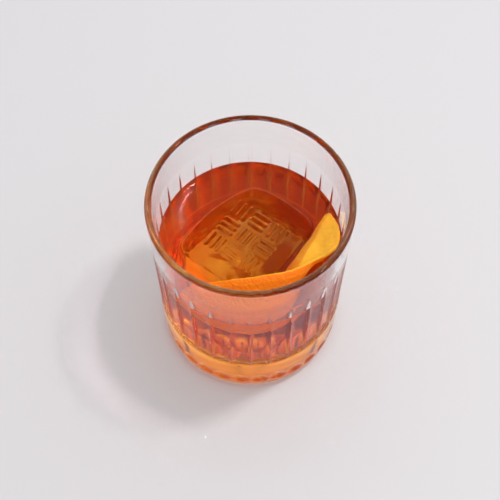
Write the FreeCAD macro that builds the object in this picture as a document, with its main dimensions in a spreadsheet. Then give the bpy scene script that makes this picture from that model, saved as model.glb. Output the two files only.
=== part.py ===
import FreeCAD
import Part
import math
import os
import Sketcher

# A short mixed drink in a fluted glass tumbler, with one large clear ice block and a
# wide strip of orange peel. Millimetres, +Z up, origin at the centre of the foot.
#
# Angles round the glass are measured from the -Y side towards +X.

DOC = FreeCAD.newDocument("negroni")

# ---------------------------------------------------------------- driving dimensions
SIZES = [
    # tumbler: outside
    ("height", 96.0, "foot to rim"),
    ("rim_radius", 43.0, "outer radius at the rim"),
    ("heel_radius", 39.4, "outer radius where the wall meets the heel"),
    ("heel_height", 7.5, "height of that corner"),
    ("foot_radius", 38.0, "radius at the ground"),
    ("heel_round", 12.0, "rounding of the wall into the heel"),
    ("foot_round", 0.8, "rounding of the heel into the foot"),
    ("dish_radius", 31.0, "radius of the shallow hollow under the foot"),
    ("dish_depth", 0.9, "depth of that hollow"),
    # tumbler: inside
    ("rim_wall", 2.8, "wall thickness at the rim"),
    ("floor_wall", 3.3, "wall thickness at the level of the inner floor"),
    ("floor_height", 19.0, "height of the inner floor, so the thickness of the base"),
    ("floor_round", 7.0, "rounding of the floor into the wall"),
    ("rim_round", 1.2, "rounding of both edges of the rim"),
    # tumbler: flutes up the wall and thumb cuts round the heel
    ("flute_count", 30.0, "flutes round the wall, and thumb cuts round the heel"),
    ("flute_start", 25.5, "height of the flutes' lower ends"),
    ("flute_end", 77.0, "height where the flutes die out"),
    ("flute_depth", 1.2, "depth at the lower end"),
    ("flute_foot", 3.2, "rise of the arched lower end"),
    ("flute_land", 0.05, "how far the flute's corners stand outside the wall below"),
    ("flute_margin", 0.03, "half the space between two flutes' corners"),
    ("flute_bulge", 1.0, "bulge of the cutter outside the wall"),
    ("flute_run_out", 0.66, "the same at the upper end"),
    ("flute_crown", 0.4, "hollow of the cutter at the upper end, just clear of the wall"),
    ("thumb_radius", 15.0, "radius of the thumb cuts"),
    ("thumb_depth", 0.75, "depth of the thumb cuts"),
    ("thumb_height", 8.0, "height of the thumb cuts' centres"),
    # drink
    ("fill_height", 64.0, "height of the drink's surface"),
    # ice block
    ("ice_length", 46.0, "long side"),
    ("ice_width", 41.4, "width of the left end, across the long side"),
    ("ice_taper", 7.6, "how much narrower the right end is"),
    ("ice_side_bow", 4.2, "bulge of the long side that faces away from the peel"),
    ("ice_end_bow", 2.2, "bulge of the narrow end"),
    ("ice_height", 40.0, "height"),
    ("ice_freeboard", 1.4, "how far the ice stands out of the drink"),
    ("ice_corner", 6.5, "rounding of the upright edges"),
    ("ice_edge", 2.4, "rounding of the top and bottom edges"),
    ("ice_turn", 53.0, "angle of the long side from +X"),
    ("ice_x", -1.7, "centre of the block"),
    ("ice_y", 1.1, "centre of the block"),
    ("stamp_relief", 0.6, "height of the stamped bars"),
    ("stamp_bar_length", 7.0, "length of one bar"),
    ("stamp_bar_width", 1.5, "width of one bar"),
    ("stamp_bar_pitch", 2.75, "distance between the bars of one tile"),
    ("stamp_tile", 9.5, "distance between tiles"),
    # orange peel
    ("peel_thickness", 2.8, "thickness in the middle of the strip"),
    ("peel_edge", 1.6, "thickness of the cut edges"),
    ("peel_bevel", 1.1, "width of the bevel beside the cut edges"),
    ("peel_gap", 0.25, "clearance from the glass"),
]

# The strip of peel lies between the ice and the wall. Each station gives its upper edge
# and its lower edge: the angle round the glass, the share of the way from the side of
# the ice (0) to the inside of the wall (1), and the height above the drink. A share
# below 0 is over the ice.
PEEL_STATIONS = [
    # upper edge            lower edge
    (111.5, 0.78, 0.9, 112.5, 0.66, -0.5),
    (104.5, 0.87, 1.9, 107.0, 0.27, -0.6),
    (92.5, 0.92, 2.9, 94.5, 0.04, -0.7),
    (82.0, 0.84, 3.8, 79.5, 0.05, -0.9),
    (69.0, 0.56, 5.4, 63.0, 0.06, -1.6),
    (53.5, 0.37, 6.8, 48.5, 0.06, -4.0),
    (36.5, 0.22, 8.0, 37.5, 0.40, -7.5),
    (19.5, -0.03, 8.6, 23.0, 0.65, -9.3),
    (-0.5, -0.42, 8.0, 3.0, 0.78, -10.0),
    (-21.0, -0.05, 6.0, -17.0, 0.80, -9.6),
    (-38.0, 0.18, 0.8, -37.0, 0.84, -8.0),
    (-52.0, 0.50, -2.4, -54.0, 0.88, -6.0),
]
PEEL_SECTIONS = 23

sheet = DOC.addObject("Spreadsheet::Sheet", "Sizes")


def fill_sheet():
    """Write every driving dimension into the sheet as a plain number with an alias."""
    rows = list(SIZES)
    fields = ("top_angle", "top_share", "top_rise", "low_angle", "low_share", "low_rise")
    for index, station in enumerate(PEEL_STATIONS):
        for field, number in zip(fields, station):
            rows.append(("peel_%s_%d" % (field, index), number, "peel, station %d" % index))
    for row, (alias, number, meaning) in enumerate(rows, start=1):
        sheet.set("A%d" % row, meaning)
        sheet.set("B%d" % row, repr(number))
        sheet.setAlias("B%d" % row, alias)
    DOC.recompute()


def size(alias):
    """The number in the sheet under an alias."""
    return float(getattr(sheet, alias))


def cells(text):
    """An expression in which each $name stands for that cell of the sheet."""
    return text.replace("$", "Sizes.")


def value_of(text):
    """The number that an expression stands for."""
    return float(sheet.evalExpression(text.replace("$", "")))


# ---------------------------------------------------------------- sketch helpers
def origin_item(body, role):
    """One of the body's own origin planes or axes."""
    return next(item for item in body.Origin.OriginFeatures if item.Role == role)


def new_body(name):
    return DOC.addObject("PartDesign::Body", name)


def new_sketch(body, name, plane):
    sketch = body.newObject("Sketcher::SketchObject", name)
    sketch.AttachmentSupport = [(origin_item(body, plane), "")]
    sketch.MapMode = "FlatFace"
    return sketch


def pin_point(sketch, geometry, end, x, y):
    """Hold one point of a sketch at two expressions, or on an axis where one is zero."""
    for kind, text, axis in (("DistanceX", x, -2), ("DistanceY", y, -1)):
        if text == "0":
            sketch.addConstraint(Sketcher.Constraint("PointOnObject", geometry, end, axis))
        else:
            rule = Sketcher.Constraint(kind, -1, 1, geometry, end, value_of(text))
            number = sketch.addConstraint(rule)
            sketch.setExpression("Constraints[%d]" % number, cells(text))


def draw_polygon(sketch, corners, bows=None):
    """A closed outline through corners given as two expressions.

    Its sides are straight, but for those with a depth in bows, which bulge by that depth.
    """
    count = len(corners)
    places = [FreeCAD.Vector(value_of(x), value_of(y), 0) for x, y in corners]
    for index in range(count):
        after = (index + 1) % count
        if bows and index in bows:
            draw_bow(sketch, corners[index], corners[after], bows[index])
        else:
            sketch.addGeometry(Part.LineSegment(places[index], places[after]), False)
    for index in range(count):
        after = (index + 1) % count
        sketch.addConstraint(Sketcher.Constraint("Coincident", index, 2, after, 1))
    for index, (x, y) in enumerate(corners):
        pin_point(sketch, index, 1, x, y)


def draw_bow(sketch, first, last, depth):
    """An arc between two points that bulges by a depth to the right of the way from first to last."""
    start = FreeCAD.Vector(value_of(first[0]), value_of(first[1]), 0)
    end = FreeCAD.Vector(value_of(last[0]), value_of(last[1]), 0)
    way = (end - start).normalize()
    crown = (start + end) / 2 + FreeCAD.Vector(way.y, -way.x, 0) * value_of(depth)
    number = sketch.addGeometry(Part.Arc(start, crown, end), False)
    run = "((%s) - (%s)) ^ 2 + ((%s) - (%s)) ^ 2" % (last[0], first[0], last[1], first[1])
    radius = "((%s) / 4 + (%s) ^ 2) / (2 * %s)" % (run, depth, depth)
    rule = sketch.addConstraint(Sketcher.Constraint("Radius", number, value_of(radius)))
    sketch.setExpression("Constraints[%d]" % rule, cells(radius))


def round_corner(sketch, side, radius):
    """Round the corner where a straight side starts; the corner stays where it is pinned."""
    number = sketch.GeometryCount
    sketch.fillet(side, 1, value_of(radius), True, True)
    rule = sketch.addConstraint(Sketcher.Constraint("Radius", number, value_of(radius)))
    sketch.setExpression("Constraints[%d]" % rule, cells(radius))


def draw_lens(sketch, half_width, hollow, bulge):
    """A lens between two points on the sketch's Y axis, with the depth of both its arcs.

    Both arcs bulge away from the axis: the first towards -X, the second towards +X.
    """
    low = FreeCAD.Vector(0, -value_of(half_width), 0)
    high = FreeCAD.Vector(0, value_of(half_width), 0)
    for first, last, side, depth in ((high, low, -1, hollow), (low, high, 1, bulge)):
        crown = FreeCAD.Vector(side * value_of(depth), 0, 0)
        number = sketch.addGeometry(Part.Arc(first, crown, last), False)
        radius = "((%s) ^ 2 + (%s) ^ 2) / (2 * %s)" % (half_width, depth, depth)
        rule = sketch.addConstraint(Sketcher.Constraint("Radius", number, value_of(radius)))
        sketch.setExpression("Constraints[%d]" % rule, cells(radius))
    pin_point(sketch, 0, 1, "0", half_width)
    pin_point(sketch, 0, 2, "0", "-(%s)" % half_width)
    sketch.addConstraint(Sketcher.Constraint("Coincident", 1, 1, 0, 2))
    sketch.addConstraint(Sketcher.Constraint("Coincident", 1, 2, 0, 1))


def revolve(body, sketch, name, kind="PartDesign::Revolution"):
    """Turn a profile drawn in the XZ plane once round the Z axis."""
    feature = body.newObject(kind, name)
    feature.Profile = sketch
    feature.ReferenceAxis = (sketch, ["V_Axis"])
    feature.Angle = 360.0
    sketch.Visibility = False
    return feature


def edges_at(shape, wanted):
    """Names of the edges for whose bounding box a test holds."""
    found = []
    for index, edge in enumerate(shape.Edges, start=1):
        if wanted(edge, edge.BoundBox):
            found.append("Edge%d" % index)
    if not found:
        raise RuntimeError("no edge to round")
    return found


def fillet(body, base, name, edges, radius):
    feature = body.newObject("PartDesign::Fillet", name)
    feature.Base = (base, edges)
    feature.setExpression("Radius", cells(radius))
    return feature


def solid_volume(shape):
    """Volume inside the facets, which many-sided curved faces don't upset."""
    points, facets = shape.tessellate(0.1)
    return sum(points[a].dot(points[b].cross(points[c])) for a, b, c in facets) / 6


def expect_less(before, after, what):
    """A cut must have taken something away."""
    if solid_volume(after) >= solid_volume(before) - 5.0:
        raise RuntimeError("%s cut nothing" % what)


# ---------------------------------------------------------------- the wall's two faces
WALL_SLOPE = "($rim_radius - $heel_radius) / ($height - $heel_height)"
FLOOR_INNER = "($heel_radius + (%s) * ($floor_height - $heel_height) - $floor_wall)" % WALL_SLOPE
RIM_INNER = "($rim_radius - $rim_wall)"
INNER_SLOPE = "((%s - %s) / ($height - $floor_height))" % (RIM_INNER, FLOOR_INNER)


def outer_radius(height):
    """Outer radius of the wall, as an expression of a height."""
    return "($heel_radius + (%s) * (%s - $heel_height))" % (WALL_SLOPE, height)


def inner_radius(height):
    """Inner radius of the wall, as an expression of a height."""
    return "(%s + %s * (%s - $floor_height))" % (FLOOR_INNER, INNER_SLOPE, height)


def near(first, second):
    return abs(first - second) < 0.02


# ---------------------------------------------------------------- tumbler
def make_tumbler():
    body = new_body("tumbler")
    blank_sketch = new_sketch(body, "tumbler_outline", "XZ_Plane")
    draw_polygon(blank_sketch, [
        ("0", "$dish_depth"),
        ("$dish_radius", "0"),
        ("$foot_radius", "0"),
        ("$heel_radius", "$heel_height"),
        ("$rim_radius", "$height"),
        (RIM_INNER, "$height"),
        (FLOOR_INNER, "$floor_height"),
        ("0", "$floor_height"),
    ])
    heel_side = 3
    round_corner(blank_sketch, heel_side, "$heel_round")
    blank = revolve(body, blank_sketch, "tumbler_blank")
    DOC.recompute()

    def ring_at(radius, height):
        def wanted(edge, box):
            is_ring = near(box.ZMin, box.ZMax) and near(box.ZMin, value_of(height))
            return is_ring and near(box.XMax, value_of(radius))
        return wanted

    floor = fillet(body, blank, "floor_fillet",
                   edges_at(blank.Shape, ring_at(FLOOR_INNER, "$floor_height")), "$floor_round")
    DOC.recompute()
    foot = fillet(body, floor, "foot_fillet",
                  edges_at(floor.Shape, ring_at("$foot_radius", "0")), "$foot_round")
    DOC.recompute()
    rim_edges = edges_at(foot.Shape, ring_at("$rim_radius", "$height"))
    rim_edges += edges_at(foot.Shape, ring_at(RIM_INNER, "$height"))
    rim = fillet(body, foot, "rim_fillet", rim_edges, "$rim_round")
    DOC.recompute()

    flutes = cut_flutes(body, rim)
    cut_thumbs(body, flutes)
    return body


def polar_pattern(body, feature, name):
    pattern = body.newObject("PartDesign::PolarPattern", name)
    pattern.Originals = [feature]
    pattern.Axis = (origin_item(body, "Z_Axis"), [""])
    pattern.Angle = 360.0
    pattern.setExpression("Occurrences", cells("$flute_count"))
    body.Tip = pattern
    return pattern


def cut_flutes(body, base):
    """Upright hollow flutes, arched at the foot and dying out towards the rim.

    One cutter runs from a lens on a plane that leans outwards and down, which gives the
    arched lower end, to a thin lens lying just outside the wall.
    """
    half_pitch = "180 deg / $flute_count"
    half_width = "%%s * sin(%s) - $flute_margin" % half_pitch
    low_corner = "(%s + $flute_land)" % outer_radius("$flute_start")
    high_corner = "(%s + $flute_run_out)" % outer_radius("$flute_end")

    low = new_sketch(body, "flute_low", "XY_Plane")
    lean = math.degrees(math.atan2(size("flute_foot"), size("flute_depth")))
    low.AttachmentOffset = FreeCAD.Placement(
        FreeCAD.Vector(0, 0, 0), FreeCAD.Rotation(FreeCAD.Vector(0, 1, 0), lean))
    low.setExpression("AttachmentOffset.Base.x", cells("%s * cos(%s)" % (low_corner, half_pitch)))
    low.setExpression("AttachmentOffset.Base.z", cells("$flute_start"))
    low.setExpression("AttachmentOffset.Rotation.Angle", cells("atan2($flute_foot; $flute_depth)"))
    DOC.recompute()
    reach = "sqrt($flute_depth ^ 2 + $flute_foot ^ 2)"
    draw_lens(low, half_width % low_corner, reach, "$flute_bulge")

    high = new_sketch(body, "flute_high", "XY_Plane")
    high.setExpression("AttachmentOffset.Base.x", cells("%s * cos(%s)" % (high_corner, half_pitch)))
    high.setExpression("AttachmentOffset.Base.z", cells("$flute_end"))
    DOC.recompute()
    draw_lens(high, half_width % high_corner, "$flute_crown", "$flute_bulge")

    cutter = body.newObject("PartDesign::SubtractiveLoft", "flute")
    cutter.Profile = low
    cutter.Sections = [high]
    cutter.Ruled = True
    DOC.recompute()
    expect_less(base.Shape, cutter.Shape, "flute")
    pattern = polar_pattern(body, cutter, "flutes")
    DOC.recompute()
    expect_less(cutter.Shape, pattern.Shape, "flutes")
    return pattern


def cut_thumbs(body, base):
    """A row of shallow round thumb cuts round the heel, one under each flute."""
    profile = new_sketch(body, "thumb_outline", "XZ_Plane")
    centre = "(%s + $thumb_radius - $thumb_depth)" % outer_radius("$thumb_height")
    middle = FreeCAD.Vector(value_of(centre), value_of("$thumb_height"), 0)
    reach = size("thumb_radius")
    below = FreeCAD.Vector(middle.x, middle.y - reach, 0)
    above = FreeCAD.Vector(middle.x, middle.y + reach, 0)
    crown = FreeCAD.Vector(middle.x - reach, middle.y, 0)
    profile.addGeometry(Part.Arc(below, crown, above), False)
    profile.addGeometry(Part.LineSegment(above, below), False)
    arc = profile.Geometry[0]
    ends = (1, 2) if arc.StartPoint.y > middle.y else (2, 1)
    profile.addConstraint(Sketcher.Constraint("Coincident", 1, 1, 0, ends[0]))
    profile.addConstraint(Sketcher.Constraint("Coincident", 1, 2, 0, ends[1]))
    profile.addConstraint(Sketcher.Constraint("Vertical", 1))
    pin_point(profile, 0, 3, centre, "$thumb_height")
    profile.addConstraint(Sketcher.Constraint("PointOnObject", 0, 3, 1))
    radius = profile.addConstraint(Sketcher.Constraint("Radius", 0, reach))
    profile.setExpression("Constraints[%d]" % radius, cells("$thumb_radius"))
    DOC.recompute()

    cut = body.newObject("PartDesign::Groove", "thumb")
    cut.Profile = profile
    cut.ReferenceAxis = (profile, ["Edge2"])
    cut.Angle = 360.0
    DOC.recompute()
    expect_less(base.Shape, cut.Shape, "thumb")
    pattern = polar_pattern(body, cut, "thumbs")
    DOC.recompute()
    expect_less(cut.Shape, pattern.Shape, "thumbs")


# ---------------------------------------------------------------- ice block
# The block floats, or stands on the floor of the glass where the drink is shallow.
ICE_FLOATING = "$fill_height + $ice_freeboard - $ice_height"
ICE_BOTTOM = "(%s) > $floor_height ? (%s) : $floor_height" % (ICE_FLOATING, ICE_FLOATING)


def make_ice():
    """A clear block with melted sides and edges, and a stamped parquet of bars on top."""
    body = new_body("ice_cube")
    outline = new_sketch(body, "ice_outline", "XY_Plane")
    half_length = "$ice_length / 2"
    half_width = "$ice_width / 2"
    narrow_end = 1
    far_side = 2
    draw_polygon(outline, [
        ("-(%s)" % half_length, "-(%s)" % half_width),
        (half_length, "-(%s)" % half_width),
        (half_length, "%s - $ice_taper" % half_width),
        ("-(%s)" % half_length, half_width),
    ], {narrow_end: "$ice_end_bow", far_side: "$ice_side_bow"})
    block = body.newObject("PartDesign::Pad", "ice_block")
    block.Profile = outline
    block.setExpression("Length", cells("$ice_height"))
    DOC.recompute()
    upright = edges_at(block.Shape, lambda edge, box: box.ZLength > size("ice_height") / 2)
    corners = fillet(body, block, "ice_corners", upright, "$ice_corner")
    DOC.recompute()
    rings = edges_at(corners.Shape, lambda edge, box: box.ZLength < 0.01)
    rounded = fillet(body, corners, "ice_edges", rings, "$ice_edge")
    DOC.recompute()
    stamp_ice(body, rounded)
    body.Placement = FreeCAD.Placement(
        FreeCAD.Vector(size("ice_x"), size("ice_y"), 0),
        FreeCAD.Rotation(FreeCAD.Vector(0, 0, 1), size("ice_turn")))
    body.setExpression("Placement.Base.x", cells("$ice_x"))
    body.setExpression("Placement.Base.y", cells("$ice_y"))
    body.setExpression("Placement.Base.z", cells(ICE_BOTTOM))
    body.setExpression("Placement.Rotation.Angle", cells("$ice_turn * 1 deg"))
    DOC.recompute()
    return body


def draw_bar(sketch, first, along_x, column, row, shift):
    """One bar with round ends, drawn as two lines and two half circles."""
    centre_x = "%d * $stamp_tile" % column
    centre_y = "%d * $stamp_tile" % row
    side = "%d * $stamp_bar_pitch" % shift
    half = "($stamp_bar_length - $stamp_bar_width) / 2"
    if along_x:
        tips = [("%s %s %s" % (centre_x, sign, half), "%s + %s" % (centre_y, side)) for sign in "-+"]
    else:
        tips = [("%s + %s" % (centre_x, side), "%s %s %s" % (centre_y, sign, half)) for sign in "-+"]
    near_tip, far_tip = [FreeCAD.Vector(value_of(x), value_of(y), 0) for x, y in tips]
    along = (far_tip - near_tip).normalize()
    across = FreeCAD.Vector(-along.y, along.x, 0) * (size("stamp_bar_width") / 2)
    reach = along * (size("stamp_bar_width") / 2)
    sketch.addGeometry(Part.LineSegment(near_tip - across, far_tip - across), False)
    sketch.addGeometry(Part.Arc(far_tip - across, far_tip + reach, far_tip + across), False)
    sketch.addGeometry(Part.LineSegment(far_tip + across, near_tip + across), False)
    sketch.addGeometry(Part.Arc(near_tip + across, near_tip - reach, near_tip - across), False)
    for index in range(4):
        here = first + index
        after = first + (index + 1) % 4
        sketch.addConstraint(Sketcher.Constraint("Tangent", here, 2, after, 1))
    pin_point(sketch, first + 1, 3, tips[1][0], tips[1][1])
    pin_point(sketch, first + 3, 3, tips[0][0], tips[0][1])
    radius = sketch.addConstraint(
        Sketcher.Constraint("Radius", first + 1, size("stamp_bar_width") / 2))
    sketch.setExpression("Constraints[%d]" % radius, cells("$stamp_bar_width / 2"))


def stamp_ice(body, base):
    """Three by three tiles of raised bars, turned by a quarter from tile to tile."""
    relief = new_sketch(body, "stamp_outline", "XY_Plane")
    relief.setExpression("AttachmentOffset.Base.z", cells("$ice_height"))
    DOC.recompute()
    first = 0
    for column in (-1, 0, 1):
        for row in (-1, 0, 1):
            for shift in (-1, 0, 1):
                draw_bar(relief, first, (column + row) % 2 == 0, column, row, shift)
                first += 4
    bars = body.newObject("PartDesign::Pad", "stamp_bars")
    bars.Profile = relief
    bars.setExpression("Length", cells("$stamp_relief"))
    DOC.recompute()
    if bars.Shape.Volume <= base.Shape.Volume:
        raise RuntimeError("the stamp added nothing")


# ---------------------------------------------------------------- orange peel
def ice_reach(ice, angle):
    """Distance from the glass axis to the side of the ice block, at an angle in degrees."""
    turn = math.radians(angle)
    centre = FreeCAD.Vector(0, 0, ice.Shape.BoundBox.Center.z)
    ray = FreeCAD.Vector(math.sin(turn), -math.cos(turn), 0) * size("rim_radius")
    inside = Part.makeLine(centre, centre + ray).common(ice.Shape)
    return max(math.hypot(vertex.X, vertex.Y) for vertex in inside.Vertexes)


def clear_radius(level):
    """How far out the peel may reach at one height."""
    return value_of(inner_radius(repr(level))) - size("peel_gap")


def peel_point(ice, angle, share, rise):
    """A point between the ice and the wall."""
    level = size("fill_height") + rise
    start = ice_reach(ice, angle)
    radius = start + share * (clear_radius(level) - start)
    turn = math.radians(angle)
    return FreeCAD.Vector(radius * math.sin(turn), -radius * math.cos(turn), level)


def smooth_curve(points):
    curve = Part.BSplineCurve()
    curve.interpolate(points)
    return curve


def curve_at(curve, share):
    first, last = curve.FirstParameter, curve.LastParameter
    return curve.value(first + (last - first) * share)


def peel_section(upper, lower, share):
    """The closed outline of the strip at one share of its length, clear of the wall."""
    step = 0.005
    top = curve_at(upper, share)
    low = curve_at(lower, share)
    ahead = curve_at(upper, min(1.0, share + step)) + curve_at(lower, min(1.0, share + step))
    behind = curve_at(upper, max(0.0, share - step)) + curve_at(lower, max(0.0, share - step))
    across = (top - low).normalize()
    skin = across.cross(ahead - behind).normalize()
    edge = skin * size("peel_edge")
    full = skin * size("peel_thickness")
    width = (top - low).Length
    inset = across * min(size("peel_bevel"), width / 5)
    corners = [top, low, low + edge, low + full + inset, top + full - inset, top + edge]
    excess = max(math.hypot(corner.x, corner.y) - clear_radius(corner.z) for corner in corners)
    outwards = FreeCAD.Vector(low.x, low.y, 0).normalize()
    inward = outwards * -max(0.0, excess)
    outline = [corner + inward for corner in corners]
    return Part.makePolygon(outline + outline[:1])


def make_peel(ice):
    """The strip of peel: pith on the side of the ice, skin on the side of the wall.

    It stands on its lower edge against the wall at the front, leans in over the ice
    there, and twists over until it lies pith side up at the right.
    """
    upper_points = []
    lower_points = []
    for index in range(len(PEEL_STATIONS)):
        fields = [size("peel_%s_%d" % (field, index)) for field in
                  ("top_angle", "top_share", "top_rise", "low_angle", "low_share", "low_rise")]
        upper_points.append(peel_point(ice, *fields[:3]))
        lower_points.append(peel_point(ice, *fields[3:]))
    upper = smooth_curve(upper_points)
    lower = smooth_curve(lower_points)
    shares = [index / (PEEL_SECTIONS - 1) for index in range(PEEL_SECTIONS)]
    sections = [peel_section(upper, lower, share) for share in shares]
    feature = DOC.addObject("Part::Feature", "orange_peel")
    feature.Shape = Part.makeLoft(sections, True, False)
    feature.Placement = FreeCAD.Placement()
    return feature


# ---------------------------------------------------------------- drink
def make_drink(ice, peel):
    """The drink fills the tumbler up to its level, cut round the ice and the peel."""
    body = new_body("drink_fill")
    profile = new_sketch(body, "drink_outline", "XZ_Plane")
    draw_polygon(profile, [
        ("0", "$floor_height"),
        (FLOOR_INNER, "$floor_height"),
        (inner_radius("$fill_height"), "$fill_height"),
        ("0", "$fill_height"),
    ])
    fill = revolve(body, profile, "drink_solid")
    DOC.recompute()

    def floor_ring(edge, box):
        level = near(box.ZMin, box.ZMax) and near(box.ZMin, size("floor_height"))
        return level and near(box.XMax, value_of(FLOOR_INNER))

    fillet(body, fill, "drink_round", edges_at(fill.Shape, floor_ring), "$floor_round")
    DOC.recompute()
    around_ice = DOC.addObject("Part::Cut", "drink_around_ice")
    around_ice.Base = body
    around_ice.Tool = ice
    DOC.recompute()
    expect_less(body.Shape, around_ice.Shape, "ice")
    drink = DOC.addObject("Part::Cut", "drink")
    drink.Base = around_ice
    drink.Tool = peel
    DOC.recompute()
    expect_less(around_ice.Shape, drink.Shape, "peel")
    return drink


# ---------------------------------------------------------------- build, check, write
def check_document():
    for item in DOC.Objects:
        bad = [flag for flag in item.State if flag in ("Invalid", "Error")]
        if bad:
            raise RuntimeError("%s is %s" % (item.Name, ", ".join(bad)))


def write_nodes(nodes):
    os.makedirs("parts", exist_ok=True)
    for label, item in nodes:
        item.Label = label
        shape = item.Shape
        if shape.isNull() or not shape.isValid():
            raise RuntimeError("%s has no valid shape" % label)
        if len(shape.Solids) != 1:
            raise RuntimeError("%s has %d solids" % (label, len(shape.Solids)))
        shape.Solids[0].exportStep("parts/%s.step" % label)
        box = shape.BoundBox
        print("%-12s volume %9.1f  x %6.2f %6.2f  y %6.2f %6.2f  z %6.2f %6.2f" % (
            label, solid_volume(shape), box.XMin, box.XMax, box.YMin, box.YMax, box.ZMin, box.ZMax))


fill_sheet()
tumbler = make_tumbler()
ice_cube = make_ice()
orange_peel = make_peel(ice_cube)
drink = make_drink(ice_cube, orange_peel)
DOC.recompute()
check_document()
write_nodes([
    ("tumbler", tumbler),
    ("drink", drink),
    ("ice_cube", ice_cube),
    ("orange_peel", orange_peel),
])
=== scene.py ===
import math

import bpy
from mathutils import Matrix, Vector, noise


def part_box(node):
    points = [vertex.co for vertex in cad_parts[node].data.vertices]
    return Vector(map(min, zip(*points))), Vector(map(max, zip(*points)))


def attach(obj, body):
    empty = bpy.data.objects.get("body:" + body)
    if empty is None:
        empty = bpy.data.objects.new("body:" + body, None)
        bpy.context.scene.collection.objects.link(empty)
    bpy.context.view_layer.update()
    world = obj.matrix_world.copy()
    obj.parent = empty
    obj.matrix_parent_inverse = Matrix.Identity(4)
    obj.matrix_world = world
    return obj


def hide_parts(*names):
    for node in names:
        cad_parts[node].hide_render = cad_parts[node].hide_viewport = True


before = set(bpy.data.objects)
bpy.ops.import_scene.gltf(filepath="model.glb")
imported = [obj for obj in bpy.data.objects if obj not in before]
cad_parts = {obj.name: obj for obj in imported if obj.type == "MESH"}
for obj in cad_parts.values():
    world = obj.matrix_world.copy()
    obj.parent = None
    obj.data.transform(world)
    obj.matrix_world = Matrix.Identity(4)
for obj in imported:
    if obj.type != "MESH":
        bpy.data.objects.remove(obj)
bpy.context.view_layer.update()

# Looks of a short red drink in a fluted tumbler, with one large ice block and a strip of
# orange peel. Metres, +Z up, origin at the centre of the foot. Angles round the glass are
# measured from the -Y side towards +X, as for the CAD model.

# ------------------------------------------------------------------ sizes
# Tumbler: its outside, the hollow under its foot, its rim and its inside
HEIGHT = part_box("tumbler")[1].z
RIM_RADIUS = 0.0430
HEEL_RADIUS, HEEL_HEIGHT, HEEL_ROUND = 0.0394, 0.0075, 0.012
FOOT_RADIUS, FOOT_ROUND = 0.0380, 0.0008
DISH_RADIUS, DISH_DEPTH = 0.0310, 0.0009
RIM_WALL, RIM_ROUND = 0.0028, 0.0012
FLOOR_WALL, FLOOR_ROUND = 0.0033, 0.0070
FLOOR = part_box("drink")[0].z

# Flutes up the wall, and the thumb cuts round the heel, one under each flute
FLUTES = 30
FLUTE_START, FLUTE_END = 0.0255, 0.0770
FLUTE_DEPTH, FLUTE_FOOT = 0.0012, 0.0032
FLUTE_FADE = 0.45            # under 1, a flute keeps its depth until near its end
FLUTE_FLATNESS = 4           # over 2, a flute is flat across and steep at its ridges
THUMB_RADIUS, THUMB_DEPTH, THUMB_HEIGHT = 0.0100, 0.0011, 0.0080

# Drink
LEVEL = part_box("drink")[1].z
WALL_BITE = 0.00015          # how far the drink reaches into the glass and into the ice
CLIMB = 0.0016               # rise of the drink where it wets the glass
CAPILLARY = 0.0018           # distance over which that rise dies away
FILM = 0.0003                # thickness of the skin that stands for the drink's face
WET_TOP = LEVEL + CLIMB

# Ice block, in its own frame turned by ICE_TURN about ICE_CENTRE
ICE_LENGTH, ICE_WIDTH, ICE_HEIGHT = 0.0460, 0.0414, 0.0400
ICE_TAPER, ICE_SIDE_BOW, ICE_END_BOW = 0.0076, 0.0042, 0.0022
ICE_FREEBOARD = 0.0014
ICE_CORNER, ICE_EDGE = 0.0065, 0.0024
ICE_TURN = math.radians(53)
ICE_CENTRE = Vector((-0.0017, 0.0011, 0))
ICE_TOP = LEVEL + ICE_FREEBOARD
WATERLINE = LEVEL + ICE_FREEBOARD / 2
MELT = 0.00035               # height of the waves that melting leaves
SIDE_MELT, TOP_MELT = 90, 110        # how many of them go to a metre, roughly
STAMP_RELIEF, STAMP_SINK = 0.0010, 0.0005
BAR_LENGTH, BAR_WIDTH, BAR_PITCH, STAMP_TILE = 0.0082, 0.0022, 0.0028, 0.0094
BAR_CROWN = 0.75             # under 1, a bar is flatter on top and steeper at its sides

# Peel stations: angle in degrees, share of the way from the ice to the wall and height
# above the drink in millimetres, for the upper edge and then for the lower edge.
PEEL_STATIONS = [
    (111.5, 0.78, 0.9, 112.5, 0.66, -0.5),
    (104.5, 0.87, 1.9, 107.0, 0.27, -0.6),
    (92.5, 0.92, 2.9, 94.5, 0.04, -0.7),
    (82.0, 0.84, 3.8, 79.5, 0.05, -0.9),
    (69.0, 0.56, 5.4, 63.0, 0.06, -1.6),
    (53.5, 0.37, 6.8, 48.5, 0.06, -4.0),
    (36.5, 0.22, 8.0, 37.5, 0.40, -7.5),
    (19.5, -0.03, 8.6, 23.0, 0.65, -9.3),
    (-0.5, -0.42, 8.0, 3.0, 0.78, -10.0),
    (-21.0, -0.05, 6.0, -17.0, 0.80, -9.6),
    (-38.0, 0.18, 0.8, -37.0, 0.84, -8.0),
    (-52.0, 0.50, -2.4, -54.0, 0.88, -6.0),
]
MILLIMETRE = 0.001
PEEL_THICKNESS, PEEL_EDGE, PEEL_BEVEL, PEEL_GAP = 0.0028, 0.0016, 0.0011, 0.00025
CUT_BULGE = 0.00025          # how far the cut edge of the peel stands out in its middle
SKIN_CALM = 0.6              # how much smoother the skin is than the pith
# (how many to a metre, height) of the waves on the peel's faces and on its cut edges
PEEL_WAVES = (260, 0.00012), (700, 0.00005)
CUT_WAVES = (480, 0.00022), (1300, 0.00010)

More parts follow.
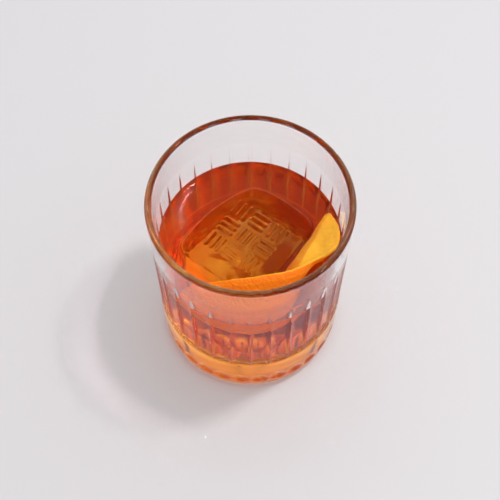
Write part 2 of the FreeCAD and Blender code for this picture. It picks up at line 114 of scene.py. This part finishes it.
# Fineness of the meshes
FLUTE_COLUMNS = 16           # columns across one flute
CUT_STEP, PLAIN_STEP = 0.0009, 0.004         # ring spacing up the cut wall, and elsewhere
COLUMNS = 480                # columns round the ice and the drink
SIDE_STEPS, TURN_STEPS = 60, 720             # steps along one side of the ice, and round it
EDGE_RINGS, SIDE_RINGS, TOP_RINGS = 8, 24, 90
SURFACE_RINGS = 40
PEEL_SECTIONS, PEEL_ACROSS, PEEL_THROUGH = 170, 26, 7
TINY = 1e-6


# ------------------------------------------------------------------ mesh helpers
def added(name, data):
    """A new object in the scene."""
    item = bpy.data.objects.new(name, data)
    bpy.context.scene.collection.objects.link(item)
    return item


def skin(name, rings, touching=(), loop=False):
    """A closed mesh over a stack of rings. A ring is a list of points, or one at a pole.

    The bands between rings whose numbers are in touching take the piece's second material.
    In a loop the last ring joins the first.
    """
    points = [point for ring in rings for point in ring]
    following = rings[1:] + (rings[:1] if loop else [])
    faces, looks = [], []
    first = 0
    for band, (ring, after) in enumerate(zip(rings, following)):
        second = (first + len(ring)) % len(points)
        count = max(len(ring), len(after))
        for k in range(count):
            n = (k + 1) % count
            corners = (first + k % len(ring), first + n % len(ring),
                       second + n % len(after), second + k % len(after))
            faces.append(tuple(dict.fromkeys(corners)))
            looks.append(int(band in touching))
        first = second
    mesh = bpy.data.meshes.new(name)
    mesh.from_pydata(points, [], faces)
    mesh.polygons.foreach_set("material_index", looks)
    mesh.shade_smooth()
    return added(name, mesh)


def corner_arc(before, here, after, rounding):
    """Points of the arc that rounds the corner of a line at here."""
    most = math.radians(9)
    back = (before - here).normalized()
    ahead = (after - here).normalized()
    half = back.angle(ahead) / 2
    centre = here + (back + ahead).normalized() * (rounding / math.sin(half))
    start = here + back * (rounding / math.tan(half)) - centre
    end = here + ahead * (rounding / math.tan(half)) - centre
    turn = start.angle(end)
    count = max(2, math.ceil(turn / most))
    arc = []
    for k in range(count + 1):
        leave, reach = math.sin(turn * (count - k) / count), math.sin(turn * k / count)
        arc.append(centre + (start * leave + end * reach) / math.sin(turn))
    return arc


def rounded_profile(corners, step):
    """Points along a line of (radius, height, rounding) corners, with each corner rounded.

    step gives the spacing of the points on a straight run, from the run's two ends.
    """
    points = []
    last = None
    for index, (r, z, rounding) in enumerate(corners):
        arc = [Vector((r, z))]
        if rounding:
            before, after = (Vector(corners[n][:2]) for n in (index - 1, index + 1))
            arc = corner_arc(before, arc[0], after, rounding)
        if last is not None:
            run = arc[0] - last
            count = max(1, math.ceil(run.length / step(last, arc[0])))
            points += [last + run * (k / count) for k in range(1, count)]
        points += arc
        last = arc[-1]
    return points


def plain_step(start, end):
    return PLAIN_STEP


def smooth(x):
    """0 up to x = 0, 1 from x = 1, and a soft step between."""
    x = min(1.0, max(0.0, x))
    return x * x * (3 - 2 * x)


def uneven(place, *waves):
    """Noise at a place, added up from waves of (how many to a metre, height)."""
    return sum(noise.noise(place * scale) * height for scale, height in waves)


def turned(radius, angle, height):
    """A point at an angle round the glass, measured from -Y towards +X."""
    return Vector((radius * math.sin(angle), -radius * math.cos(angle), height))


# ------------------------------------------------------------------ tumbler
WALL_SLOPE = (RIM_RADIUS - HEEL_RADIUS) / (HEIGHT - HEEL_HEIGHT)


def outer_radius(z):
    return HEEL_RADIUS + WALL_SLOPE * (z - HEEL_HEIGHT)


FLOOR_INNER = outer_radius(FLOOR) - FLOOR_WALL
INNER_SLOPE = (RIM_RADIUS - RIM_WALL - FLOOR_INNER) / (HEIGHT - FLOOR)


def inner_radius(z):
    return FLOOR_INNER + INNER_SLOPE * (z - FLOOR)


def cut_radius(r, z, angle):
    """The outer radius at a height and an angle after the flutes and the thumb cuts."""
    pitch = 2 * math.pi / FLUTES
    offset = angle % pitch - pitch / 2
    across = offset / (pitch / 2)
    if FLUTE_START < z < FLUTE_END:
        fade = ((FLUTE_END - z) / (FLUTE_END - FLUTE_START)) ** FLUTE_FADE
        hollow = FLUTE_DEPTH * fade * (1 - across ** FLUTE_FLATNESS)
        ledge = (z - FLUTE_START) * FLUTE_DEPTH / FLUTE_FOOT
        r -= min(hollow, ledge)
    ball = outer_radius(THUMB_HEIGHT) + THUMB_RADIUS - THUMB_DEPTH
    reach = THUMB_RADIUS ** 2 - (z - THUMB_HEIGHT) ** 2 - (ball * math.sin(offset)) ** 2
    if reach > 0:
        r = min(r, ball * math.cos(offset) - math.sqrt(reach))
    return r


def tumbler_step(start, end):
    """Fine on the way up the outside, where the cuts are, and coarse elsewhere."""
    middle = (start + end) / 2
    outside = middle.x > inner_radius(middle.y) + FLOOR_WALL / 2
    return CUT_STEP if outside and end.y > start.y else PLAIN_STEP


def make_tumbler():
    """The glass, from under its foot over the rim to its inner floor.

    Its second material is on the faces that the drink wets.
    """
    corners = [
        (0, DISH_DEPTH, 0), (DISH_RADIUS, 0, 0), (FOOT_RADIUS, 0, FOOT_ROUND),
        (HEEL_RADIUS, HEEL_HEIGHT, HEEL_ROUND), (RIM_RADIUS, HEIGHT, RIM_ROUND),
        (RIM_RADIUS - RIM_WALL, HEIGHT, RIM_ROUND), (inner_radius(WET_TOP), WET_TOP, 0),
        (FLOOR_INNER, FLOOR, FLOOR_ROUND), (0, FLOOR, 0)]
    profile = rounded_profile(corners, tumbler_step)
    columns = FLUTES * FLUTE_COLUMNS
    angles = [2 * math.pi * k / columns for k in range(columns)]
    top = max(range(len(profile)), key=lambda k: profile[k].y)
    rings = []
    for index, (r, z) in enumerate(profile):
        if r == 0:
            rings.append([Vector((0, 0, z))])
        elif index < top and r > DISH_RADIUS:
            rings.append([turned(cut_radius(r, z, angle), angle, z) for angle in angles])
        else:
            rings.append([turned(r, angle, z) for angle in angles])
    wet = next(k for k in range(top, len(profile)) if profile[k].y < WET_TOP + TINY)
    return skin("tumbler_glass", rings, range(wet, len(rings)))


# ------------------------------------------------------------------ ice block
def bowed_sides():
    """Points along the block's four bowed sides, each with the way out of the block."""
    half_x, half_y = ICE_LENGTH / 2, ICE_WIDTH / 2
    corners = [Vector((-half_x, -half_y)), Vector((half_x, -half_y)),
               Vector((half_x, half_y - ICE_TAPER)), Vector((-half_x, half_y))]
    bows = (0, ICE_END_BOW, ICE_SIDE_BOW, 0)
    sides = []
    for start, end, bow in zip(corners, corners[1:] + corners[:1], bows):
        way = end - start
        out = Vector((way.y, -way.x)).normalized()
        for k in range(SIDE_STEPS):
            share = k / SIDE_STEPS
            place = start + way * share + out * bow * 4 * share * (1 - share)
            slope = way + out * bow * 4 * (1 - 2 * share)
            sides.append((place, Vector((slope.y, -slope.x)).normalized()))
    return sides


def ice_outline():
    """Points round the block with their outward normals, in the block's own frame.

    The sides move in by the corner's radius, and a disk of that radius rolls round what
    is left of them, which rounds the corners. The points are evenly spaced.
    """
    swallowed = ICE_CORNER * 0.985       # a moved point this near to a side is in a corner
    sides = bowed_sides()
    cores = [place - out * ICE_CORNER for place, out in sides]
    cores = [core for core in cores
             if min((core - place).length for place, _ in sides) > swallowed]
    track = []
    for k in range(TURN_STEPS):
        turn = 2 * math.pi * k / TURN_STEPS
        normal = Vector((math.cos(turn), math.sin(turn)))
        track.append((max(cores, key=normal.dot) + normal * ICE_CORNER, normal))
    lengths = [0.0]
    for (here, _), (after, _) in zip(track, track[1:] + track[:1]):
        lengths.append(lengths[-1] + (after - here).length)
    outline = []
    index = 0
    for k in range(COLUMNS):
        way = lengths[-1] * k / COLUMNS
        while lengths[index + 1] <= way:
            index += 1
        share = (way - lengths[index]) / (lengths[index + 1] - lengths[index])
        (here, first), (after, second) = track[index], track[(index + 1) % len(track)]
        outline.append((here.lerp(after, share), first.lerp(second, share).normalized()))
    return outline


ICE_OUTLINE = ice_outline()
ICE_COS, ICE_SIN = math.cos(ICE_TURN), math.sin(ICE_TURN)


def ice_place(x, y, z):
    """A point of the block from its own frame."""
    return Vector((ICE_CENTRE.x + x * ICE_COS - y * ICE_SIN,
                   ICE_CENTRE.y + x * ICE_SIN + y * ICE_COS, z))


def ice_own(place):
    """The x and y of a point in the block's own frame."""
    across = place - ICE_CENTRE
    return across.x * ICE_COS + across.y * ICE_SIN, across.y * ICE_COS - across.x * ICE_SIN


def ice_ring(inset, z):
    """One ring round the block, moved in from its side, with the melted unevenness."""
    ring = []
    for place, normal in ICE_OUTLINE:
        wave = noise.noise(Vector((place.x * SIDE_MELT, place.y * SIDE_MELT, z * SIDE_MELT)))
        flat = place - normal * (inset - wave * MELT)
        ring.append(ice_place(flat.x, flat.y, z))
    return ring


def shrunk(ring, share):
    """A ring drawn in towards the block's centre."""
    return [Vector((ICE_CENTRE.x, ICE_CENTRE.y, p.z)).lerp(p, share) for p in ring]


def block_rings(shrink):
    """(inset, height) of each ring of the block from its bottom edge to its top edge.

    shrink makes the block smaller all round.
    """
    bottom = ICE_TOP - ICE_HEIGHT
    low, high = [], []
    for k in range(EDGE_RINGS + 1):
        turn = math.pi / 2 * k / EDGE_RINGS
        rising, turning = ICE_EDGE * (1 - math.cos(turn)), ICE_EDGE * (1 - math.sin(turn))
        low.append((shrink + turning, bottom + shrink + rising))
        high.append((shrink + rising, ICE_TOP - shrink - turning))
    straight = ICE_HEIGHT - 2 * ICE_EDGE
    side = [(shrink, bottom + ICE_EDGE + straight * k / SIDE_RINGS)
            for k in range(1, SIDE_RINGS)]
    return low + side + high


def block_bottom(edge):
    """Rings of the block's flat bottom, from its middle out to its first edge ring."""
    rim = ice_ring(*edge[0])
    return [[ice_place(0, 0, edge[0][1])]] + [shrunk(rim, share) for share in (0.3, 0.6, 0.85)]


def below_drink(edge):
    """The rings up to the line where the drink meets the ice."""
    return [(inset, z) for inset, z in edge if z < WATERLINE]


def bar_height(x, y):
    """Height of the stamped parquet of short bars at a place on the block's top."""
    column, row = round(x / STAMP_TILE), round(y / STAMP_TILE)
    if abs(column) > 1 or abs(row) > 1:
        return 0.0
    x -= column * STAMP_TILE
    y -= row * STAMP_TILE
    if (column + row) % 2:
        x, y = y, x
    y -= max(-1, min(1, round(y / BAR_PITCH))) * BAR_PITCH
    x = max(abs(x) - (BAR_LENGTH - BAR_WIDTH) / 2, 0)
    off_centre = math.hypot(x, y) / (BAR_WIDTH / 2)
    return STAMP_RELIEF * max(0.0, 1 - off_centre ** 2) ** BAR_CROWN


def stamped_top(rim):
    """Rings from the block's top edge to its middle: a sunk, uneven field with bars."""
    slice_height = 7                     # the slice of the noise that the top takes
    rings = []
    for k in range(TOP_RINGS - 1, 0, -1):
        inward = 1 - k / TOP_RINGS
        sink = STAMP_SINK * smooth(3 * inward)
        ring = shrunk(rim, k / TOP_RINGS)
        for place in ring:
            x, y = ice_own(place)
            wave = noise.noise(Vector((x * TOP_MELT, y * TOP_MELT, slice_height)))
            place.z = ICE_TOP + MELT * wave * smooth(5 * inward) - sink + bar_height(x, y)
        rings.append(ring)
    return rings + [[ice_place(0, 0, ICE_TOP - STAMP_SINK + bar_height(0, 0))]]


def make_ice():
    """The block, with its second material on the faces below the waterline."""
    edge = block_rings(0)
    bottom = block_bottom(edge)
    sunk = range(len(bottom) + len(below_drink(edge)) - 1)
    body = [ice_ring(inset, z) for inset, z in edge]
    return skin("ice_block", bottom + body + stamped_top(body[-1]), sunk)


# ------------------------------------------------------------------ drink
def drink_top(shore, depth):
    """Rings of the drink's face from the block to the wall, at a depth under it.

    The face rises to the shore on the ice and climbs the wall of the glass.
    """
    wall = inner_radius(WET_TOP) + WALL_BITE
    rings = []
    for k in range(SURFACE_RINGS + 1):
        share = 0.5 - 0.5 * math.cos(math.pi * k / SURFACE_RINGS)
        ring = []
        for inner in shore:
            place = inner.lerp(Vector((*inner.xy.normalized() * wall, 0)), share)
            to_wall = wall - place.xy.length
            to_ice = (place.xy - inner.xy).length
            rise = CLIMB * math.exp(-to_wall / CAPILLARY)
            rise += (inner.z - LEVEL) * math.exp(-to_ice / CAPILLARY)
            ring.append(Vector((place.x, place.y, LEVEL + rise - depth)))
        rings.append(ring)
    return rings


def make_drink():
    """The liquid under its face: round the ice, out to the wall and down to the floor."""
    edge = block_rings(WALL_BITE)
    rings = block_bottom(edge) + [ice_ring(inset, z) for inset, z in below_drink(edge)]
    rings += drink_top(rings.pop(), FILM / 2)
    bottom = FLOOR - WALL_BITE
    corners = [(inner_radius(WET_TOP) + WALL_BITE, WET_TOP - FILM / 2, 0),
               (FLOOR_INNER + WALL_BITE, bottom, FLOOR_ROUND), (0, bottom, 0)]
    ways = [place.xy.normalized() for place in rings[-1]]
    for r, z in rounded_profile(corners, plain_step)[1:]:
        rings.append([Vector((0, 0, z))] if r == 0 else [Vector((*way * r, z)) for way in ways])
    return skin("drink_liquid", rings[::-1])


def make_film():
    """The drink's face towards the air: a skin that bends the light on its top side only."""
    shore = ice_ring(*below_drink(block_rings(WALL_BITE))[-1])
    under = drink_top(shore, FILM)
    rings = under + drink_top(shore, 0)[::-1]
    return skin("drink_surface", rings, range(len(under)), loop=True)


# ------------------------------------------------------------------ peel
def spline(points):
    """A smooth curve through points, as a function of the share of its way, 0 to 1.

    It is a natural cubic spline, and bend is its second derivative at each point.
    """
    count = len(points)
    knots = [0.0]
    for here, after in zip(points, points[1:]):
        knots.append(knots[-1] + (after - here).length)
    lower, middle, upper, right = [0.0], [1.0], [0.0], [Vector((0, 0, 0))]
    for k in range(1, count - 1):
        before, ahead = knots[k] - knots[k - 1], knots[k + 1] - knots[k]
        lower.append(before)
        middle.append(2 * (before + ahead))
        upper.append(ahead)
        slope_in = (points[k] - points[k - 1]) / before
        slope_out = (points[k + 1] - points[k]) / ahead
        right.append((slope_out - slope_in) * 6)
    lower.append(0.0)
    middle.append(1.0)
    upper.append(0.0)
    right.append(Vector((0, 0, 0)))
    for k in range(1, count):
        factor = lower[k] / middle[k - 1]
        middle[k] -= factor * upper[k - 1]
        right[k] = right[k] - right[k - 1] * factor
    bend = [right[-1] / middle[-1]]
    for k in range(count - 2, -1, -1):
        bend.insert(0, (right[k] - bend[0] * upper[k]) / middle[k])

    def at(share):
        way = min(max(share, 0.0), 1.0) * knots[-1]
        k = 0
        while k < count - 2 and knots[k + 1] < way:
            k += 1
        run = knots[k + 1] - knots[k]
        a, b = knots[k + 1] - way, way - knots[k]
        return ((bend[k] * a ** 3 + bend[k + 1] * b ** 3) / (6 * run)
                + (points[k] / run - bend[k] * run / 6) * a
                + (points[k + 1] / run - bend[k + 1] * run / 6) * b)
    return at


def ice_reach(angle):
    """Distance from the glass axis to the side of the block, at an angle round the glass."""
    way = Vector((math.sin(angle), -math.cos(angle)))
    ring = [ice_place(place.x, place.y, 0).xy for place, _ in ICE_OUTLINE]
    nearest = max(ring, key=lambda place: place.normalized().dot(way))
    return nearest.length


def peel_point(angle, share, rise):
    """The place of one edge of the peel at a station."""
    z = LEVEL + rise * MILLIMETRE
    start = ice_reach(math.radians(angle))
    reach = start + share * (inner_radius(z) - PEEL_GAP - start)
    return turned(reach, math.radians(angle), z)


def peel_outline():
    """(share from the upper to the lower edge, depth from pith to skin) round a section."""
    across = [k / PEEL_ACROSS for k in range(PEEL_ACROSS + 1)]
    through = [k / PEEL_THROUGH for k in range(1, PEEL_THROUGH)]
    return ([(v, 0.0) for v in across] + [(1.0, depth) for depth in through]
            + [(1 - v, 1.0) for v in across] + [(0.0, 1 - depth) for depth in through])


def peel_section(top, low, outward, outline):
    """One ring round the strip, uneven on its faces and ragged where it was cut."""
    span = top - low
    upward = span.normalized()
    ring = []
    for v, depth in outline:
        place = top.lerp(low, v)
        border = min(v, 1 - v) * span.length
        thick = PEEL_EDGE + (PEEL_THICKNESS - PEEL_EDGE) * smooth(border / (2 * PEEL_BEVEL))
        rough = uneven(place, *PEEL_WAVES)
        place += outward * (thick * depth + rough * (1 - SKIN_CALM * depth))
        if v in (0.0, 1.0):
            ragged = uneven(place, *CUT_WAVES) + CUT_BULGE * math.sin(math.pi * depth)
            place += upward * (ragged if v == 0.0 else -ragged)
        ring.append(place)
    return ring


def end_cap(ring):
    """The middle of an end of the strip, and a ring half-way out to its edge."""
    middle = sum(ring, Vector()) / len(ring)
    return [[middle], [middle.lerp(place, 0.5) for place in ring]]


def make_peel():
    """The strip of peel, with each point's depth from pith to skin kept on the mesh."""
    upper = spline([peel_point(*station[:3]) for station in PEEL_STATIONS])
    lower = spline([peel_point(*station[3:]) for station in PEEL_STATIONS])
    outline = peel_outline()
    beside = 0.004       # share of the way, to each side, over which a direction is taken
    rings = []
    for index in range(PEEL_SECTIONS + 1):
        share = index / PEEL_SECTIONS
        top, low = upper(share), lower(share)
        ahead = upper(share + beside) + lower(share + beside)
        behind = upper(share - beside) + lower(share - beside)
        outward = (top - low).normalized().cross(ahead - behind).normalized()
        rings.append(peel_section(top, low, outward, outline))
    rings = end_cap(rings[0]) + rings + end_cap(rings[-1])[::-1]
    piece = skin("peel_strip", rings)
    depths = []
    for ring in rings:
        depths += [depth for _, depth in outline] if len(ring) > 1 else [0.5]
    piece.data.attributes.new("depth", "FLOAT", "POINT").data.foreach_set("value", depths)
    return piece


# ------------------------------------------------------------------ node helpers
MIX_A, MIX_B, MIX_RESULT = 6, 7, 2       # the colour sockets of a mix node


class Nodes:
    """The node tree of a material or a world, with short calls for the nodes used here."""

    def __init__(self, owner, shader_type):
        owner.use_nodes = True
        self.owner = owner
        self.tree = owner.node_tree
        self.shader = next(n for n in self.tree.nodes if n.type == shader_type)

    def add(self, kind, **values):
        """A new node, with values for its inputs or its settings."""
        node = self.tree.nodes.new(kind)
        for key, value in values.items():
            if key in node.inputs:
                node.inputs[key].default_value = value
            else:
                setattr(node, key, value)
        return node

    def join(self, source, target):
        self.tree.links.new(source, target)

    def set(self, **values):
        """Values for the shader's inputs, with _ for a space in their names."""
        for key, value in values.items():
            self.shader.inputs[key.replace("_", " ")].default_value = value

    def texture(self, kind, output, **values):
        """The output of a texture laid over the piece in the piece's own coordinates."""
        place = self.add("ShaderNodeTexCoord")
        texture = self.add(kind, **values)
        self.join(place.outputs["Object"], texture.inputs["Vector"])
        return texture.outputs[output]

    def coordinate(self, axis):
        """The piece's own coordinate along an axis."""
        place = self.add("ShaderNodeTexCoord")
        parts = self.add("ShaderNodeSeparateXYZ")
        self.join(place.outputs["Object"], parts.inputs["Vector"])
        return parts.outputs[axis]

    def scaled_sum(self, source, factor, other):
        """A source times a factor, plus another source."""
        node = self.add("ShaderNodeMath", operation="MULTIPLY_ADD")
        self.join(source, node.inputs[0])
        node.inputs[1].default_value = factor
        self.join(other, node.inputs[2])
        return node.outputs[0]

    def product(self, source, other):
        node = self.add("ShaderNodeMath", operation="MULTIPLY")
        self.join(source, node.inputs[0])
        self.join(other, node.inputs[1])
        return node.outputs[0]

    def ramp(self, source, *stops, interpolation="LINEAR"):
        """Colours at (position, colour) stops along a source's value, in rising order."""
        node = self.add("ShaderNodeValToRGB")
        node.color_ramp.interpolation = interpolation
        elements = node.color_ramp.elements
        for element, (position, colour) in zip(elements, (stops[0], stops[-1])):
            element.position, element.color = position, (*colour, 1)
        for position, colour in stops[1:-1]:
            elements.new(position).color = (*colour, 1)
        self.join(source, node.inputs["Fac"])
        return node.outputs["Color"]

    def tinted(self, colour, tint):
        """One colour source multiplied by another."""
        node = self.add("ShaderNodeMix", data_type="RGBA", blend_type="MULTIPLY", Factor=1.0)
        self.join(colour, node.inputs[MIX_A])
        self.join(tint, node.inputs[MIX_B])
        return node.outputs[MIX_RESULT]

    def bump(self, height, distance):
        node = self.add("ShaderNodeBump", Strength=1.0, Distance=distance)
        self.join(height, node.inputs["Height"])
        self.join(node.outputs["Normal"], self.shader.inputs["Normal"])


def new_material(name):
    return Nodes(bpy.data.materials.new(name), "BSDF_PRINCIPLED")


# ------------------------------------------------------------------ materials
# Where two clear things touch, one surface bends the light by the ratio of the two.
GLASS_IOR, ICE_IOR, DRINK_IOR, NO_BEND = 1.5, 1.31, 1.345, 1.0
CLEAR_SHINE, FACE_SHINE = 0.15, 0.4      # share of its mirror light that a clear face keeps
# (height, length) of the waves on clear surfaces
GLASS_WAVE, FACE_WAVE = (0.00002, 0.008), (0.00001, 0.01)
ICE_WAVE, SUNK_WAVE = (0.00022, 0.004), (0.00012, 0.004)

WHITE = (1.0, 1.0, 1.0)
# The rim's tint is painted reflection: a bluish colour in the top of the rim that takes out the
# drink's orange seen through it, so the rim looks grey like the room it reflects.
GLASS_TINT, RIM_REFLECTION_TINT = (1.0, 0.99, 0.985), (0.50, 0.70, 0.95)
RIM_REFLECTION_START, RIM_REFLECTION_END = HEIGHT - 0.0012, HEIGHT - 0.0006
ICE_TINT = (0.995, 0.995, 0.995)
# Streaks on the sunk ice: drink mixing with melt water, with painted light in them. The light
# colour also stands in for the lamp's light focused through the ice, and the streaks darken
# towards the right as painted shadow of the peel.
SWIRL_AND_SHADE_DARK, SWIRL_AND_GLOW_LIGHT = (0.52, 0.13, 0.02), (1.0, 0.98, 0.34)
PAINTED_SHADOW_DRIFT = -4.0          # change of the streaks over a metre to the right: darker
DRINK_COLOUR, DRINK_DENSITY = (0.97, 0.71, 0.04, 1), 165.0
# The peel's middle colour is the yellower layer under the zest that shows on the cut edges. Its
# bright yellow is also painted light: the lamp's glow through the thin cut edge.
PITH, INNER_ZEST_AND_GLOW, ZEST = (1.0, 0.50, 0.035), (1.0, 0.47, 0.02), (1.0, 0.215, 0.0)
PEEL_SPOT = (0.95, 0.88, 0.72)
PEEL_MIXING = 0.35           # how far the peel's grain moves its layers and its relief
PEEL_RELIEF = 0.0004
PEEL_SCATTER = (1.0, 0.45, 0.12)


def clear_material(name, ior, wave, tint=WHITE, shine=CLEAR_SHINE):
    """Clear stuff with a slightly uneven surface."""
    height, length = wave
    clear = new_material(name)
    clear.set(Base_Color=(*tint, 1), Roughness=0.0, IOR=ior, Transmission_Weight=1.0)
    clear.set(Specular_Tint=(shine, shine, shine, 1))
    waves = clear.texture("ShaderNodeTexNoise", "Fac", Scale=1 / length, Detail=2.0)
    clear.bump(waves, height)
    return clear


def glass_materials():
    """Clear glass with a bluish tint in the top of its rounded rim, painted reflection that
    greys the rim, and glass with drink against it.
    """
    dry = clear_material("clear_glass", GLASS_IOR, GLASS_WAVE)
    up = dry.add("ShaderNodeMapRange",
                 **{"From Min": RIM_REFLECTION_START, "From Max": RIM_REFLECTION_END})
    dry.join(dry.coordinate("Z"), up.inputs["Value"])
    # painted reflection: the rim's top turns bluish so that it looks grey
    colour = dry.ramp(up.outputs["Result"], (0.0, GLASS_TINT), (1.0, RIM_REFLECTION_TINT))
    dry.join(colour, dry.shader.inputs["Base Color"])
    wetted = clear_material("wetted_glass", GLASS_IOR / DRINK_IOR, GLASS_WAVE, GLASS_TINT)
    return [dry.owner, wetted.owner]


def ice_materials():
    """Clear ice, and its sunk faces with uneven streaks of drink and melted water, partly
    painted light: lighter where the lamp's light is focused through the ice, and darker towards
    the right as painted shadow of the peel.
    """
    clear = clear_material("clear_ice", ICE_IOR, ICE_WAVE, ICE_TINT)
    sunk = clear_material("sunk_ice", ICE_IOR / DRINK_IOR, SUNK_WAVE)
    streaks = sunk.texture("ShaderNodeTexNoise", "Fac", Scale=50.0, Detail=2.0, Distortion=1.2)
    # painted shadow: the streaks darken towards the right, where the peel's shadow falls
    shadowed_streaks = sunk.scaled_sum(sunk.coordinate("X"), PAINTED_SHADOW_DRIFT, streaks)
    colour = sunk.ramp(shadowed_streaks, (0.43, SWIRL_AND_SHADE_DARK), (0.55, SWIRL_AND_GLOW_LIGHT))
    sunk.join(colour, sunk.shader.inputs["Base Color"])
    return [clear.owner, sunk.owner]


def drink_materials():
    """The drink's colour alone: the faces round it bend the light."""
    body = clear_material("drink_body", NO_BEND, FACE_WAVE)
    colour = body.add("ShaderNodeVolumeAbsorption", Color=DRINK_COLOUR, Density=DRINK_DENSITY)
    output = next(n for n in body.tree.nodes if n.type == "OUTPUT_MATERIAL")
    body.join(colour.outputs["Volume"], output.inputs["Volume"])
    return [body.owner]


def film_materials():
    """The drink's face towards the air, and the film's other side, which does nothing."""
    face = clear_material("drink_face", DRINK_IOR, FACE_WAVE, shine=FACE_SHINE)
    under = clear_material("drink_face_underside", NO_BEND, FACE_WAVE)
    return [face.owner, under.owner]


def peel_materials():
    """Yellow pith on one side, a thin orange zest with oil dimples on the other, and between
    them a bright yellow layer on the cut edges, partly painted light for the lamp's glow
    through the thin edge.
    """
    peel = new_material("orange_peel_skin")
    depth = peel.add("ShaderNodeAttribute", attribute_name="depth").outputs["Fac"]
    grain = peel.texture("ShaderNodeTexNoise", "Fac", Scale=1400.0, Detail=3.0)
    layers = peel.ramp(peel.scaled_sum(grain, PEEL_MIXING, depth),
                       (0.10, PITH), (0.84, INNER_ZEST_AND_GLOW), (0.98, ZEST))
    spots = peel.texture("ShaderNodeTexNoise", "Fac", Scale=650.0, Detail=4.0)
    mottle = peel.ramp(spots, (0.38, PEEL_SPOT), (0.60, WHITE))
    peel.join(peel.tinted(layers, mottle), peel.shader.inputs["Base Color"])
    cells = peel.texture("ShaderNodeTexVoronoi", "Distance", Scale=900.0, feature="SMOOTH_F1")
    dimples = peel.product(cells, depth)
    peel.bump(peel.scaled_sum(grain, PEEL_MIXING, dimples), PEEL_RELIEF)
    peel.set(Roughness=0.45, Specular_IOR_Level=0.2, Subsurface_Weight=0.2,
             Subsurface_Scale=0.002, Subsurface_Radius=PEEL_SCATTER)
    return [peel.owner]


# ------------------------------------------------------------------ build
def dress(piece, node, materials):
    """Gives a piece its materials, hangs it under the root, and hides the CAD solid that it
    stands for.
    """
    for material in materials:
        piece.data.materials.append(material)
    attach(piece, "root")
    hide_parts(node)


dress(make_tumbler(), "tumbler", glass_materials())
dress(make_ice(), "ice_cube", ice_materials())
dress(make_drink(), "drink", drink_materials())
dress(make_film(), "drink", film_materials())
dress(make_peel(), "orange_peel", peel_materials())


# ------------------------------------------------------------------ table, light, camera
TABLE_REACH, TABLE_GAP = 1.5, 0.0003     # half its width, and the air under the foot
TABLE_COLOUR, TABLE_ROUGHNESS = (0.70, 0.695, 0.72, 1), 0.6

SKY_WAY = (0.30, 0.35, 0.89)             # where the room is brightest
SKY_DIM, SKY_BRIGHT = (0.25, (0.42, 0.42, 0.43)), (0.90, (1.0, 0.99, 0.98))
SKY_STRENGTH = 1.10

KEY_WAY, KEY_DISTANCE, KEY_WIDTH = (0.35, 0.11, 0.96), 1.0, 0.11
KEY_COLOUR, KEY_POWER = (1.0, 0.97, 0.94), 2.8

CAMERA_ELEVATION, CAMERA_DISTANCE = math.radians(60.78), 0.5951
CAMERA_TARGET = Vector((-0.00013, 0, 0.0561))
CAMERA_LENS, CAMERA_SENSOR = 100.0, 36.0


def make_table():
    mesh = bpy.data.meshes.new("floor")
    mesh.from_pydata([(x * TABLE_REACH, y * TABLE_REACH, -TABLE_GAP)
                      for x, y in ((-1, -1), (1, -1), (1, 1), (-1, 1))], [], [(0, 1, 2, 3)])
    surface = new_material("pale_floor")
    surface.set(Base_Color=TABLE_COLOUR, Roughness=TABLE_ROUGHNESS)
    mesh.materials.append(surface.owner)
    added("floor", mesh)


def make_room():
    """A dim room with one broad bright side overhead, towards the back and the right."""
    world = bpy.data.worlds.new("studio")
    bpy.context.scene.world = world
    room = Nodes(world, "BACKGROUND")
    facing = room.add("ShaderNodeVectorMath", operation="DOT_PRODUCT")
    room.join(room.add("ShaderNodeTexCoord").outputs["Generated"], facing.inputs[0])
    facing.inputs[1].default_value = Vector(SKY_WAY).normalized()
    glow = room.ramp(facing.outputs["Value"], SKY_DIM, SKY_BRIGHT, interpolation="EASE")
    room.join(glow, room.shader.inputs["Color"])
    room.set(Strength=SKY_STRENGTH)


def make_key():
    """A small lamp overhead, a little to the right, for the soft shadow on the left."""
    light = bpy.data.lights.new("key", "AREA")
    light.shape = "DISK"
    light.size = KEY_WIDTH
    light.energy = KEY_POWER
    light.color = KEY_COLOUR
    lamp = added("key", light)
    way = Vector(KEY_WAY).normalized()
    lamp.location = way * KEY_DISTANCE
    lamp.rotation_euler = way.to_track_quat("Z", "Y").to_euler()


def make_camera():
    data = bpy.data.cameras.new("camera")
    data.lens, data.sensor_width = CAMERA_LENS, CAMERA_SENSOR
    camera = added("camera", data)
    way = Vector((0, -math.cos(CAMERA_ELEVATION), math.sin(CAMERA_ELEVATION)))
    camera.location = CAMERA_TARGET + way * CAMERA_DISTANCE
    camera.rotation_euler = (math.pi / 2 - CAMERA_ELEVATION, 0, 0)
    bpy.context.scene.camera = camera


make_table()
make_room()
make_key()
make_camera()
bpy.context.scene.view_settings.view_transform = "Standard"

# Light crosses glass, drink and ice many times on its way through, and stays sharp.
paths = bpy.context.scene.cycles
paths.max_bounces = 32
paths.transmission_bounces = 32
paths.glossy_bounces = 12
paths.blur_glossy = 0.0
paths.sample_clamp_indirect = 0.0
